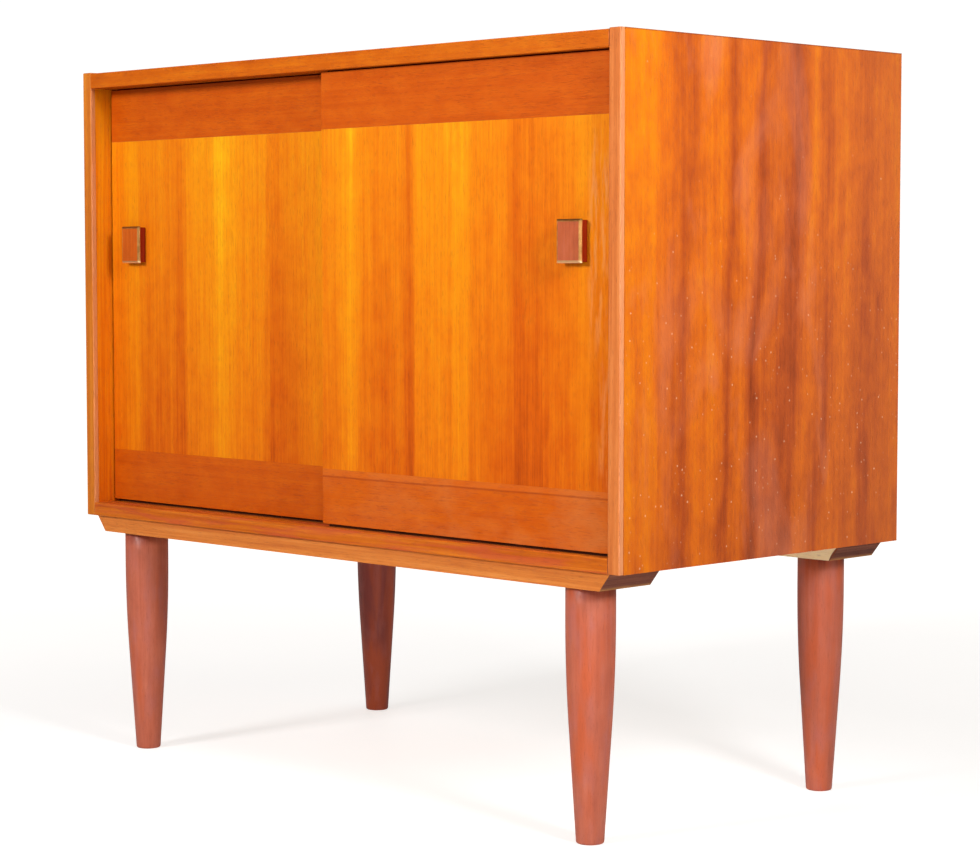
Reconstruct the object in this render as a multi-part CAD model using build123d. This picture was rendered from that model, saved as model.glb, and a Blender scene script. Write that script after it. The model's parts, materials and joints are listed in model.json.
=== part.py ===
from build123d import *
import os

# A low teak cabinet on four turned legs, with two sliding doors that pass each other.
# Frame: +X to the right seen from the front, +Y to the back, +Z up, millimetres.
# The origin is on the floor, at the middle of the whole footprint, knobs included.

# ---- driving sizes ----
WIDTH = 800.0
DEPTH = 418.0
FEET_HEIGHT = 258.0          # floor to the underside of the carcass
CARCASS_HEIGHT = 489.0
SIDE_THICK = 14.5
TOP_THICK = 16.5
BOTTOM_THICK = 14.5
SIDE_ABOVE_TOP = 1.0         # the sides stand this much above the top
LIPPING_DEEP = 6.0           # solid strip on the front edge of each side
LIPPING_ARRIS = 1.5          # rounding of that strip's front corners
STRIP_ARRIS = 1.0            # rounding of the level strips' front corners
TRACK_RAIL_DEEP = 48.0       # solid front strip of top and bottom, which holds the grooves

# ---- doors ----
DOOR_THICK = 15.0
DOOR_OVERLAP = 22.0
DOOR_SIDE_GAP = 1.5          # door edge to cabinet side, doors closed
DOOR_TOP_GAP = 1.5
DOOR_BOTTOM_GAP = 3.0
FRONT_TRACK_RECESS = 8.0     # carcass front to the face of the door on the front track
REAR_TRACK_RECESS = 26.5
TOP_BAND_HIGH = 56.5
BOTTOM_BAND_HIGH = 55.5
TONGUE_THICK = 5.0           # tongues, guides and runners are all this thick
TONGUE_HIGH = 8.0
GUIDE_END_GAP = 4.0
GROOVE_WIDE = 5.6
TOP_GROOVE_DEEP = 12.0       # deep enough to lift a door out of the bottom groove
BOTTOM_GROOVE_DEEP = 5.0
GUIDE_IN_GROOVE = 6.0
DOOR_ARRIS = 0.8

# ---- knobs ----
KNOB_FROM_SIDE = 47.0        # inner face of the side to the knob's middle, door closed
KNOB_CENTRE_Z = 558.0
KNOB_WIDE = 31.0
KNOB_HIGH = 40.0
KNOB_BEVEL = 1.8
KNOB_STRAIGHT = 1.0          # upright part of the rim, behind its bevel
KNOB_LIP = 0.6               # brass left round the teak plate
INLAY_THICK = 2.0
NECK_INSET = 1.0
NECK_DEEP = 7.7
KNOB_SCREW_DIA = 4.0
KNOB_SCREW_HEAD_DIA = 8.0

# ---- back and shelf ----
BACK_THICK = 5.0
BACK_REBATE = 7.0
BACK_END_GAP = 1.0
SHELF_THICK = 14.5
SHELF_UNDERSIDE = 494.0
SHELF_END_GAP = 1.0
SHELF_FRONT_RECESS = 56.0
SHELF_BACK_GAP = 6.0
SHELF_LIPPING = 5.0
PIN_DIA = 6.0
PIN_IN_SIDE = 9.0
PIN_OUT = 11.0
PIN_ROW_STEP = 32.0
PIN_ROWS = 5
PIN_FROM_FRONT = 90.0
PIN_FROM_BACK = 50.0

# ---- feet ----
RAIL_THICK = 17.0
RAIL_WIDE = 70.0
RAIL_RECESS = 4.0
RAIL_END_BEVEL = 13.5
LEG_X = 335.0
FRONT_LEG_FROM_FRONT = 33.0
REAR_LEG_FROM_BACK = 40.0
LEG_TOP_RADIUS = 23.6
LEG_FOOT_RADIUS = 13.3
LEG_STRAIGHT_TOP = 29.0      # length at the top with parallel sides
LEG_TAPER_HIGH = 112.0       # height of the straight taper, before the curve starts
LEG_SHOULDER_RADIUS = 20.4
FOOT_ARRIS = 2.0

# ---- fixings ----
BOLT_RADIUS = 4.0
BOLT_IN_LEG = 30.0
INSERT_RADIUS = 6.0
INSERT_LONG = 14.0
BOLT_IN_RAIL = 13.0
DOWEL_RADIUS = 4.0
DOWEL_IN_SIDE = 9.0
DOWEL_IN_BOARD = 19.0
DOWEL_FROM_FRONT = (70.0, 210.0, 350.0)
RAIL_SCREW_DIA = 4.0
RAIL_SCREW_HEAD_DIA = 8.0
RAIL_SCREW_LONG = 24.0
RAIL_SCREW_X = 90.0          # half the spacing of the screws along a foot rail
RAIL_SCREW_OUTER_ROW = 24.0  # screw rows of a foot rail, from the front or the back of the carcass
RAIL_SCREW_INNER_ROW = 62.0
BACK_SCREW_DIA = 3.0
BACK_SCREW_HEAD_DIA = 6.0
BACK_SCREW_LONG = 16.0
BACK_SCREW_X = (-350.0, -175.0, 0.0, 175.0, 350.0)
BACK_SCREW_Z = (350.0, 501.0, 650.0)

ON_FACE = 0.01               # how near an edge is to count as lying on a face

# ---- worked-out places ----
KNOB_RIM_DEEP = KNOB_STRAIGHT + KNOB_BEVEL
KNOB_OUT = NECK_DEEP + KNOB_RIM_DEEP
KNOB_PROUD = KNOB_OUT - FRONT_TRACK_RECESS
FRONT = KNOB_PROUD - (DEPTH + KNOB_PROUD) / 2
BACK = FRONT + DEPTH
SIDE_X = WIDTH / 2
INSIDE_X = SIDE_X - SIDE_THICK
CARCASS_TOP = FEET_HEIGHT + CARCASS_HEIGHT
TOP_FACE = CARCASS_TOP - SIDE_ABOVE_TOP
CEILING = TOP_FACE - TOP_THICK
INNER_FLOOR = FEET_HEIGHT + BOTTOM_THICK
RAIL_UNDERSIDE = FEET_HEIGHT - RAIL_THICK
DOOR_WIDE = (2 * (INSIDE_X - DOOR_SIDE_GAP) + DOOR_OVERLAP) / 2
DOOR_BOTTOM = INNER_FLOOR + DOOR_BOTTOM_GAP
DOOR_TOP = CEILING - DOOR_TOP_GAP
FRONT_TRACK_Y = FRONT + FRONT_TRACK_RECESS + DOOR_THICK / 2
REAR_TRACK_Y = FRONT + REAR_TRACK_RECESS + DOOR_THICK / 2
BOARD_FRONT = FRONT + TRACK_RAIL_DEEP
BOARD_BACK = BACK - BACK_THICK


def block(x0, x1, y0, y1, z0, z1):
    """A box between two corners."""
    middle = ((x0 + x1) / 2, (y0 + y1) / 2, (z0 + z1) / 2)
    return Pos(*middle) * Box(x1 - x0, y1 - y0, z1 - z0)


def rod(start, direction, radius, length):
    """A round bar from a point, along a direction."""
    return extrude(Plane(start, z_dir=direction) * Circle(radius), length)


def countersunk_screw(start, direction, shank_dia, head_dia, length):
    """A screw whose flat head is flush with the surface at start."""
    head_high = (head_dia - shank_dia) / 2
    head = loft([
        Plane(start, z_dir=direction) * Circle(head_dia / 2),
        Plane(start, z_dir=direction).offset(head_high) * Circle(shank_dia / 2),
    ])
    return head + rod(start, direction, shank_dia / 2, length)


def edges_along(solid, axis, at_y):
    """The edges of a solid along an axis, on its face at one y."""
    return solid.edges().filter_by(axis).filter_by_position(Axis.Y, at_y - ON_FACE, at_y + ON_FACE)


def save(shape, node):
    export_step(shape, f"parts/{node}.step")


# ---- loose fixings, made first because the boards are cut to fit them ----

def carcass_dowels():
    """Beech dowels between each side and the top and bottom boards."""
    dowels = []
    for side in (-1, 1):
        for height in (CEILING + TOP_THICK / 2, FEET_HEIGHT + BOTTOM_THICK / 2):
            for offset in DOWEL_FROM_FRONT:
                start = (side * (INSIDE_X + DOWEL_IN_SIDE), FRONT + offset, height)
                dowels.append(rod(start, (-side, 0, 0), DOWEL_RADIUS, DOWEL_IN_SIDE + DOWEL_IN_BOARD))
    return dowels


def back_screws():
    """Small countersunk screws round the edge of the back panel."""
    places = []
    for x in BACK_SCREW_X:
        places.append((x, CEILING + TOP_THICK / 2))
        places.append((x, FEET_HEIGHT + BOTTOM_THICK / 2))
    for z in BACK_SCREW_Z:
        places.append((-INSIDE_X - BACK_REBATE / 2, z))
        places.append((INSIDE_X + BACK_REBATE / 2, z))
    return [
        countersunk_screw((x, BACK, z), (0, -1, 0), BACK_SCREW_DIA, BACK_SCREW_HEAD_DIA, BACK_SCREW_LONG)
        for x, z in places
    ]


def pin_hole_places():
    """Every shelf pin hole: side, y and height."""
    places = []
    for side in (-1, 1):
        for y in (FRONT + PIN_FROM_FRONT, BACK - PIN_FROM_BACK):
            for row in range(PIN_ROWS):
                step = row - PIN_ROWS // 2
                places.append((side, y, SHELF_UNDERSIDE - PIN_DIA / 2 + step * PIN_ROW_STEP))
    return places


def shelf_pins():
    """Four brass pins, in the middle row of holes, with the shelf resting on them."""
    height = SHELF_UNDERSIDE - PIN_DIA / 2
    return [
        rod((side * (INSIDE_X + PIN_IN_SIDE), y, z), (-side, 0, 0), PIN_DIA / 2, PIN_IN_SIDE + PIN_OUT)
        for side, y, z in pin_hole_places() if z == height
    ]


def foot_rail_screws():
    """Wood screws up through the foot rails into the carcass bottom, in two staggered rows."""
    screws = []
    front_rows = (FRONT + RAIL_SCREW_OUTER_ROW, FRONT + RAIL_SCREW_INNER_ROW)
    rear_rows = (BACK - RAIL_SCREW_OUTER_ROW, BACK - RAIL_SCREW_INNER_ROW)
    for outer_row, inner_row in (front_rows, rear_rows):
        for steps, y in ((-3, outer_row), (-1, inner_row), (1, outer_row), (3, inner_row)):
            start = (steps * RAIL_SCREW_X, y, RAIL_UNDERSIDE)
            screws.append(countersunk_screw(
                start, (0, 0, 1), RAIL_SCREW_DIA, RAIL_SCREW_HEAD_DIA, RAIL_SCREW_LONG))
    return screws


def leg_places():
    """Name, x and y of the four legs."""
    front_y = FRONT + FRONT_LEG_FROM_FRONT
    rear_y = BACK - REAR_LEG_FROM_BACK
    return [
        ("front_left_leg", -LEG_X, front_y),
        ("front_right_leg", LEG_X, front_y),
        ("rear_left_leg", -LEG_X, rear_y),
        ("rear_right_leg", LEG_X, rear_y),
    ]


def leg_bolts():
    """One steel hanger bolt in the top of each leg."""
    length = BOLT_IN_LEG + BOLT_IN_RAIL
    return [
        rod((x, y, RAIL_UNDERSIDE - BOLT_IN_LEG), (0, 0, 1), BOLT_RADIUS, length)
        for name, x, y in leg_places()
    ]


def leg_inserts(bolts):
    """Brass threaded inserts let into the foot rails, one for each leg bolt."""
    return [
        rod((x, y, RAIL_UNDERSIDE), (0, 0, 1), INSERT_RADIUS, INSERT_LONG) - bolt
        for (name, x, y), bolt in zip(leg_places(), bolts)
    ]


# ---- carcass ----

def side_panel(side, dowels, screws):
    """One veneered side board behind its front lipping, rebated for the back panel."""
    inner = side * INSIDE_X
    outer = side * SIDE_X
    low, high = sorted((inner, outer))
    panel = block(low, high, FRONT + LIPPING_DEEP, BACK, FEET_HEIGHT, CARCASS_TOP)
    rebate_low, rebate_high = sorted((inner, side * (INSIDE_X + BACK_REBATE)))
    panel -= block(rebate_low, rebate_high, BOARD_BACK, BACK, FEET_HEIGHT, CARCASS_TOP)
    for hole_side, y, z in pin_hole_places():
        if hole_side == side:
            panel -= rod((side * (INSIDE_X + PIN_IN_SIDE), y, z), (-side, 0, 0), PIN_DIA / 2, PIN_IN_SIDE)
    return panel - dowels - screws


def side_lipping(side):
    """The solid strip on a side's front edge, with its front corners rounded."""
    low, high = sorted((side * INSIDE_X, side * SIDE_X))
    strip = block(low, high, FRONT, FRONT + LIPPING_DEEP, FEET_HEIGHT, CARCASS_TOP)
    return fillet(edges_along(strip, Axis.Z, FRONT), LIPPING_ARRIS)


def grooved_rail(z0, z1, groove_z0, groove_z1):
    """A solid front strip with the two door grooves."""
    rail = block(-INSIDE_X, INSIDE_X, FRONT, BOARD_FRONT, z0, z1)
    rail = fillet(edges_along(rail, Axis.X, FRONT), STRIP_ARRIS)
    for y in (FRONT_TRACK_Y, REAR_TRACK_Y):
        rail -= block(-INSIDE_X, INSIDE_X, y - GROOVE_WIDE / 2, y + GROOVE_WIDE / 2, groove_z0, groove_z1)
    return rail


def inner_board(z0, z1):
    """The top or bottom board, from the grooved strip to the back panel."""
    return block(-INSIDE_X, INSIDE_X, BOARD_FRONT, BOARD_BACK, z0, z1)


def back_panel():
    """A thin plywood back in the rebates of the sides."""
    half = INSIDE_X + BACK_REBATE
    return block(-half, half, BOARD_BACK, BACK, FEET_HEIGHT + BACK_END_GAP, TOP_FACE - BACK_END_GAP)


def foot_rail(y0):
    """A flat board under the carcass, with bevelled ends that are longest at the top."""
    top_half = INSIDE_X
    bottom_half = INSIDE_X - RAIL_END_BEVEL
    outline = Polyline(
        (-top_half, FEET_HEIGHT),
        (top_half, FEET_HEIGHT),
        (bottom_half, RAIL_UNDERSIDE),
        (-bottom_half, RAIL_UNDERSIDE),
        close=True,
    )
    # The XZ plane's normal is -Y, so a negative length goes towards +Y.
    return extrude(Plane.XZ.offset(-y0) * make_face(outline), -RAIL_WIDE)


def turned_leg(x, y):
    """A round leg: a straight taper, an arc that runs out of it, and a parallel top."""
    arc_end_z = RAIL_UNDERSIDE - LEG_STRAIGHT_TOP
    taper_direction = (LEG_SHOULDER_RADIUS - LEG_FOOT_RADIUS, LEG_TAPER_HIGH)
    shoulder = (LEG_SHOULDER_RADIUS, LEG_TAPER_HIGH)
    taper = Line((LEG_FOOT_RADIUS, 0), shoulder)
    swell = TangentArc(shoulder, (LEG_TOP_RADIUS, arc_end_z), tangent=taper_direction)
    outline = taper + swell + Polyline(
        (LEG_TOP_RADIUS, arc_end_z),
        (LEG_TOP_RADIUS, RAIL_UNDERSIDE),
        (0, RAIL_UNDERSIDE),
        (0, 0),
        (LEG_FOOT_RADIUS, 0),
    )
    leg = revolve(Plane.XZ * make_face(outline), Axis.Z, 360)
    foot_edge = leg.edges().group_by(Axis.Z)[0]
    return Pos(x, y, 0) * fillet(foot_edge, FOOT_ARRIS)


# ---- shelf ----

def shelf_board():
    half = INSIDE_X - SHELF_END_GAP
    y0 = FRONT + SHELF_FRONT_RECESS + SHELF_LIPPING
    return block(-half, half, y0, BOARD_BACK - SHELF_BACK_GAP, SHELF_UNDERSIDE, SHELF_UNDERSIDE + SHELF_THICK)


def shelf_lipping():
    half = INSIDE_X - SHELF_END_GAP
    y0 = FRONT + SHELF_FRONT_RECESS
    strip = block(-half, half, y0, y0 + SHELF_LIPPING, SHELF_UNDERSIDE, SHELF_UNDERSIDE + SHELF_THICK)
    return fillet(edges_along(strip, Axis.X, y0), STRIP_ARRIS)


# ---- doors ----

def knob_screw(knob_x, face_y):
    """A machine screw from the back of the door into the brass rim."""
    start = (knob_x, face_y + DOOR_THICK, KNOB_CENTRE_Z)
    rim_floor = KNOB_RIM_DEEP - INLAY_THICK
    length = DOOR_THICK + NECK_DEEP + rim_floor
    return countersunk_screw(start, (0, -1, 0), KNOB_SCREW_DIA, KNOB_SCREW_HEAD_DIA, length)


def knob_neck(knob_x, face_y):
    """The dark block that holds the knob off the door."""
    half_wide = KNOB_WIDE / 2 - NECK_INSET
    half_high = KNOB_HIGH / 2 - NECK_INSET
    return block(
        knob_x - half_wide, knob_x + half_wide, face_y - NECK_DEEP, face_y,
        KNOB_CENTRE_Z - half_high, KNOB_CENTRE_Z + half_high)


def knob_inlay(knob_x, face_y):
    """The teak plate let into the rim, flush with its front."""
    half_wide = KNOB_WIDE / 2 - KNOB_BEVEL - KNOB_LIP
    half_high = KNOB_HIGH / 2 - KNOB_BEVEL - KNOB_LIP
    front = face_y - KNOB_OUT
    return block(
        knob_x - half_wide, knob_x + half_wide, front, front + INLAY_THICK,
        KNOB_CENTRE_Z - half_high, KNOB_CENTRE_Z + half_high)


def knob_rim(knob_x, face_y, inlay):
    """The brass tray round the inlay, with all four sides bevelled towards the front."""
    back = face_y - NECK_DEEP
    rim = block(
        knob_x - KNOB_WIDE / 2, knob_x + KNOB_WIDE / 2, back - KNOB_RIM_DEEP, back,
        KNOB_CENTRE_Z - KNOB_HIGH / 2, KNOB_CENTRE_Z + KNOB_HIGH / 2)
    front_face = rim.faces().sort_by(Axis.Y)[0]
    return chamfer(front_face.edges(), KNOB_BEVEL) - inlay


def door(side, track_y):
    """Every piece of one door as node suffix and shape; side is -1 for left, 1 for right."""
    outer_x = side * (INSIDE_X - DOOR_SIDE_GAP)
    x0, x1 = sorted((outer_x, outer_x - side * DOOR_WIDE))
    face_y = track_y - DOOR_THICK / 2
    back_y = track_y + DOOR_THICK / 2
    tongue_y0 = track_y - TONGUE_THICK / 2
    tongue_y1 = track_y + TONGUE_THICK / 2
    knob_x = side * (INSIDE_X - KNOB_FROM_SIDE)
    panel_z0 = DOOR_BOTTOM + BOTTOM_BAND_HIGH
    panel_z1 = DOOR_TOP - TOP_BAND_HIGH

    def tongue(z0, z1, end_gap):
        return block(x0 + end_gap, x1 - end_gap, tongue_y0, tongue_y1, z0, z1)

    def rounded(z0, z1):
        board = block(x0, x1, face_y, back_y, z0, z1)
        return fillet(edges_along(board, Axis.Z, face_y), DOOR_ARRIS)

    top_guide = tongue(DOOR_TOP - TONGUE_HIGH, CEILING + GUIDE_IN_GROOVE, GUIDE_END_GAP)
    bottom_runner = tongue(INNER_FLOOR - BOTTOM_GROOVE_DEEP, DOOR_BOTTOM + TONGUE_HIGH, GUIDE_END_GAP)
    upper_tongue = tongue(panel_z1, panel_z1 + TONGUE_HIGH, 0)
    lower_tongue = tongue(panel_z0 - TONGUE_HIGH, panel_z0, 0)
    screw = knob_screw(knob_x, face_y)
    neck = knob_neck(knob_x, face_y)
    inlay = knob_inlay(knob_x, face_y)
    rim = knob_rim(knob_x, face_y, inlay)
    return {
        "panel": rounded(panel_z0, panel_z1) + upper_tongue + lower_tongue - screw,
        "top_band": rounded(panel_z1, DOOR_TOP) - upper_tongue - top_guide,
        "bottom_band": rounded(DOOR_BOTTOM, panel_z0) - lower_tongue - bottom_runner,
        "top_guide": top_guide,
        "bottom_runner": bottom_runner,
        "knob_neck": neck - screw,
        "knob_rim": rim - screw,
        "knob_inlay": inlay,
        "knob_screw": screw,
    }


# ---- the whole cabinet ----

os.makedirs("parts", exist_ok=True)

DOWELS = carcass_dowels()
SCREWS_BACK = back_screws()
SCREWS_RAIL = foot_rail_screws()
BOLTS = leg_bolts()
INSERTS = leg_inserts(BOLTS)

save(side_panel(-1, DOWELS, SCREWS_BACK), "left_side_panel")
save(side_panel(1, DOWELS, SCREWS_BACK), "right_side_panel")
save(side_lipping(-1), "left_side_lipping")
save(side_lipping(1), "right_side_lipping")
save(inner_board(CEILING, TOP_FACE) - DOWELS - SCREWS_BACK, "top_panel")
save(inner_board(FEET_HEIGHT, INNER_FLOOR) - DOWELS - SCREWS_BACK - SCREWS_RAIL, "bottom_panel")
save(grooved_rail(CEILING, TOP_FACE, CEILING, CEILING + TOP_GROOVE_DEEP), "top_track_rail")
save(
    grooved_rail(FEET_HEIGHT, INNER_FLOOR, INNER_FLOOR - BOTTOM_GROOVE_DEEP, INNER_FLOOR) - SCREWS_RAIL,
    "bottom_track_rail")
save(back_panel() - SCREWS_BACK, "back_panel")
save(Compound(children=SCREWS_BACK), "back_panel_screws")
save(Compound(children=DOWELS), "carcass_dowels")
save(shelf_board(), "shelf")
save(shelf_lipping(), "shelf_lipping")
save(Compound(children=shelf_pins()), "shelf_pins")
save(foot_rail(FRONT + RAIL_RECESS) - SCREWS_RAIL - INSERTS - BOLTS, "front_foot_rail")
save(foot_rail(BACK - RAIL_RECESS - RAIL_WIDE) - SCREWS_RAIL - INSERTS - BOLTS, "rear_foot_rail")
save(Compound(children=SCREWS_RAIL), "foot_rail_screws")
for (leg_name, leg_x, leg_y), leg_bolt in zip(leg_places(), BOLTS):
    save(turned_leg(leg_x, leg_y) - leg_bolt, leg_name)
save(Compound(children=BOLTS), "leg_bolts")
save(Compound(children=INSERTS), "leg_inserts")

for door_name, door_side, door_track_y in (("left_door", -1, REAR_TRACK_Y), ("right_door", 1, FRONT_TRACK_Y)):
    for suffix, shape in door(door_side, door_track_y).items():
        save(shape, f"{door_name}_{suffix}")
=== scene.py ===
# %% [markdown]
# # A small teak cabinet with two sliding doors
# The real cabinet is a plain box of veneered boards, on two flat foot rails and four turned legs.
# Two doors pass each other in grooves behind its front edge.
# The model that arrives here is exact but bare, so this lesson gives every board its softened
# edges, every surface its wood or metal, and the whole piece the light of a pale studio.

# %% Load the frame
import json
import math

import bmesh
import bpy
from mathutils import Matrix, Vector


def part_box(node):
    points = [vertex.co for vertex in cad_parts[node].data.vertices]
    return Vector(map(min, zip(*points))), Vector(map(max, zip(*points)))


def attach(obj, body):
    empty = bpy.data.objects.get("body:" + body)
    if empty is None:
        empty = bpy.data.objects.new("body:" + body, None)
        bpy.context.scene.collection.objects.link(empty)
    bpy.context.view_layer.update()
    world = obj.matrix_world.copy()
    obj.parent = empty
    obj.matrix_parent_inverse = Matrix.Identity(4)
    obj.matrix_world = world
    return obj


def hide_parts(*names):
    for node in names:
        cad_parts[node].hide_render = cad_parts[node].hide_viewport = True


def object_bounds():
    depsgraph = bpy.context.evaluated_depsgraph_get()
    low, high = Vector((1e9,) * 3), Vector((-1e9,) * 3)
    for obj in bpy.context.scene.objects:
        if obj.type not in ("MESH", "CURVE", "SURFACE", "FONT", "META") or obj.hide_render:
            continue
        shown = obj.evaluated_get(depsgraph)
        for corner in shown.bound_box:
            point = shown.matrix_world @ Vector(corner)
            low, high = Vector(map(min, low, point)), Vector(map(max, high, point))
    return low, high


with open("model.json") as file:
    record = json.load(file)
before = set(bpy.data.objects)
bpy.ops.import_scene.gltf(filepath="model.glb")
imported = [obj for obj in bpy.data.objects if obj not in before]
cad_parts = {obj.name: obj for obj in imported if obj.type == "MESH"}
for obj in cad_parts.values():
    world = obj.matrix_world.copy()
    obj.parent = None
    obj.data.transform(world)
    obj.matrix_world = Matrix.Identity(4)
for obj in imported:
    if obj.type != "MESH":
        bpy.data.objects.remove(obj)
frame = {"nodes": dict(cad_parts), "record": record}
CAD_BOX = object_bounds()
MM = 0.001

BODY_OF = {}
for body, members in frame["record"]["behaviour"]["bodies"].items():
    for member in members:
        BODY_OF[member] = body
print("cabinet box in metres:", [tuple(round(c, 4) for c in corner) for corner in CAD_BOX])

# %% [markdown]
# ## Camera
# The cabinet is seen from in front of its right corner, from lower than its top, through a long
# lens. A long lens from far away keeps the boards nearly parallel, as furniture is shown.
# The turn and the tilt are plain rotations, so no tracking constraint is needed.

# %% Place the camera
CAMERA_AT = (1.9339, -1.9043, 0.5383)
CAMERA_TURN = math.radians(45.017)
CAMERA_TILT = math.radians(-3.80)
LENS = 94.14

lens_data = bpy.data.cameras.new("studio_camera")
lens_data.lens = LENS
lens_data.sensor_width = 36.0
lens_data.clip_end = 100.0
camera = bpy.data.objects.new("studio_camera", lens_data)
camera.location = CAMERA_AT
camera.rotation_euler = (math.pi / 2 + CAMERA_TILT, 0.0, CAMERA_TURN)
bpy.context.scene.collection.objects.link(camera)
bpy.context.scene.camera = camera
print("camera to the cabinet's middle:", round((camera.location - Vector((0, 0, 0.5))).length, 3), "m")

# %% [markdown]
# ## Reading and writing colours
# Colours are easiest to judge as the numbers from 0 to 255 that a screen shows, but shaders add
# light in linear values. One small function turns the first into the second, and another makes the
# stops of a ramp from a family of shades.

# %% Colours
def tone(red, green, blue):
    """A screen colour as the linear colour that a shader needs."""
    linear = []
    for part in (red, green, blue):
        share = part / 255
        linear.append(share / 12.92 if share <= 0.04045 else ((share + 0.055) / 1.055) ** 2.4)
    return (*linear, 1.0)


def dark_to_light(*colours):
    """The stops of a ramp, evenly spaced, from screen colours."""
    last = len(colours) - 1
    return [(number / last, tone(*colour)) for number, colour in enumerate(colours)]


print("mid teak in linear values:", [round(part, 3) for part in tone(226, 112, 24)])

# %% [markdown]
# ## Building a finish from nodes
# A finish is a small network of texture nodes that ends in one Principled shader. Written out in
# full, every node takes five lines, so a helper class adds one node per call and hands back its
# output. All patterns are read in Object coordinates: every piece sits at the origin with its place
# in its mesh, so neighbouring boards never show the same stretch of grain.

# %% The finish helper
class Finish:
    """A material in the making. Each method adds a node and returns its output."""

    def __init__(self, name):
        self.material = bpy.data.materials.new(name)
        self.material.use_nodes = True
        self.tree = self.material.node_tree
        self.shader = next(n for n in self.tree.nodes if n.type == "BSDF_PRINCIPLED")
        self.place = self.add("TexCoord").outputs["Object"]

    def add(self, kind, **settings):
        node = self.tree.nodes.new("ShaderNode" + kind)
        for setting, value in settings.items():
            setattr(node, setting, value)
        return node

    def feed(self, socket, value):
        """A socket takes another node's output, or a plain value."""
        if isinstance(value, bpy.types.NodeSocket):
            self.tree.links.new(value, socket)
        else:
            socket.default_value = value

    def fed(self, kind, **inputs):
        """Adds a node and feeds the inputs that are named."""
        node = self.add(kind)
        for socket, value in inputs.items():
            self.feed(node.inputs[socket], value)
        return node

    def sums(self, operation, first, second=0.0, third=0.0):
        node = self.add("Math", operation=operation)
        for socket, value in zip(node.inputs, (first, second, third)):
            self.feed(socket, value)
        return node.outputs[0]

    def plus(self, first, second):
        return self.sums("ADD", first, second)

    def minus(self, first, second):
        return self.sums("SUBTRACT", first, second)

    def times(self, first, second):
        return self.sums("MULTIPLY", first, second)

    def scaled(self, value, factor, offset):
        return self.sums("MULTIPLY_ADD", value, factor, offset)

    def swayed(self, value, noise, swing):
        """A value moved up and down by a noise. swing is the whole distance."""
        return self.plus(value, self.scaled(noise, swing, -0.5 * swing))

    def vectors(self, operation, first, second):
        node = self.add("VectorMath", operation=operation)
        self.feed(node.inputs[0], first)
        self.feed(node.inputs[1], second)
        return node.outputs["Vector"]

    def part(self, axis, source=None):
        """One of the three coordinates."""
        return self.fed("SeparateXYZ", Vector=source or self.place).outputs["XYZ".index(axis)]

    def mapped(self, scale=(1, 1, 1), shift=(0, 0, 0), source=None):
        node = self.fed("Mapping", Vector=source or self.place, Location=shift, Scale=scale)
        return node.outputs["Vector"]

    def noise(self, at, scale, detail=2.0, rough=0.5, warp=0.0, colour=False):
        node = self.fed(
            "TexNoise", Vector=at, Scale=scale, Detail=detail, Roughness=rough, Distortion=warp)
        return node.outputs["Color" if colour else "Fac"]

    def cells(self, at, scale, output="Distance"):
        return self.fed("TexVoronoi", Vector=at, Scale=scale).outputs[output]

    def between(self, value, low, high, new_low=0.0, new_high=1.0):
        """Stretches low..high to new_low..new_high, and stops at both ends."""
        node = self.add("MapRange")
        for socket, number in zip(node.inputs, (value, low, high, new_low, new_high)):
            self.feed(socket, number)
        return node.outputs[0]

    def across(self, axis, low, high, new_low=0.0, new_high=1.0):
        """The same for one coordinate."""
        return self.between(self.part(axis), low, high, new_low, new_high)

    def ramp(self, value, stops, steps=False):
        """Colours along 0..1. A stop's colour may be a grey, given as one number."""
        node = self.add("ValToRGB")
        node.color_ramp.interpolation = "CONSTANT" if steps else "LINEAR"
        elements = node.color_ramp.elements
        while len(elements) < len(stops):
            elements.new(0.5)
        for element, (place, colour) in zip(elements, sorted(stops)):
            element.position = place
            element.color = colour if isinstance(colour, tuple) else (colour, colour, colour, 1.0)
        self.feed(node.inputs[0], value)
        return node.outputs["Color"]

    def blend(self, share, first, second):
        node = self.add("Mix", data_type="RGBA")
        self.feed(node.inputs["Factor"], share)
        self.feed(node.inputs[6], first)
        self.feed(node.inputs[7], second)
        return node.outputs[2]

    def bump(self, height, depth, strength):
        node = self.fed("Bump", Height=height, Distance=depth, Strength=strength)
        return node.outputs["Normal"]

    def done(self, colour, rough, normal=None, **constants):
        """Connects the shader and returns the material."""
        self.feed(self.shader.inputs["Base Color"], colour)
        self.feed(self.shader.inputs["Roughness"], rough)
        if normal:
            self.feed(self.shader.inputs["Normal"], normal)
        for socket, value in constants.items():
            self.shader.inputs[socket.replace("_", " ")].default_value = value
        return self.material


print("finish helper ready")

# %% [markdown]
# ## The studio
# The floor and the background are one seamless white. A real studio overexposes its paper sweep
# until it prints white and only faint warm shadows stay. The same thing is done here with a white
# floor that glows, more so further out, and a white world behind it. Both light the cabinet less
# strongly than they show themselves, so that the softboxes can still shape it.

# %% Floor and world
FLOOR_HALF = 20.0
NEAR_GLOW = 0.70
FAR_GLOW = 1.0
GLOW_GROWS = (0.6, 2.2)
BOUNCE = 0.18
WORLD_LIGHT = 0.25
WORLD_SHOWN = 1.05
WARM_SHADE = (1.0, 0.975, 0.945, 1.0)


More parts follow.
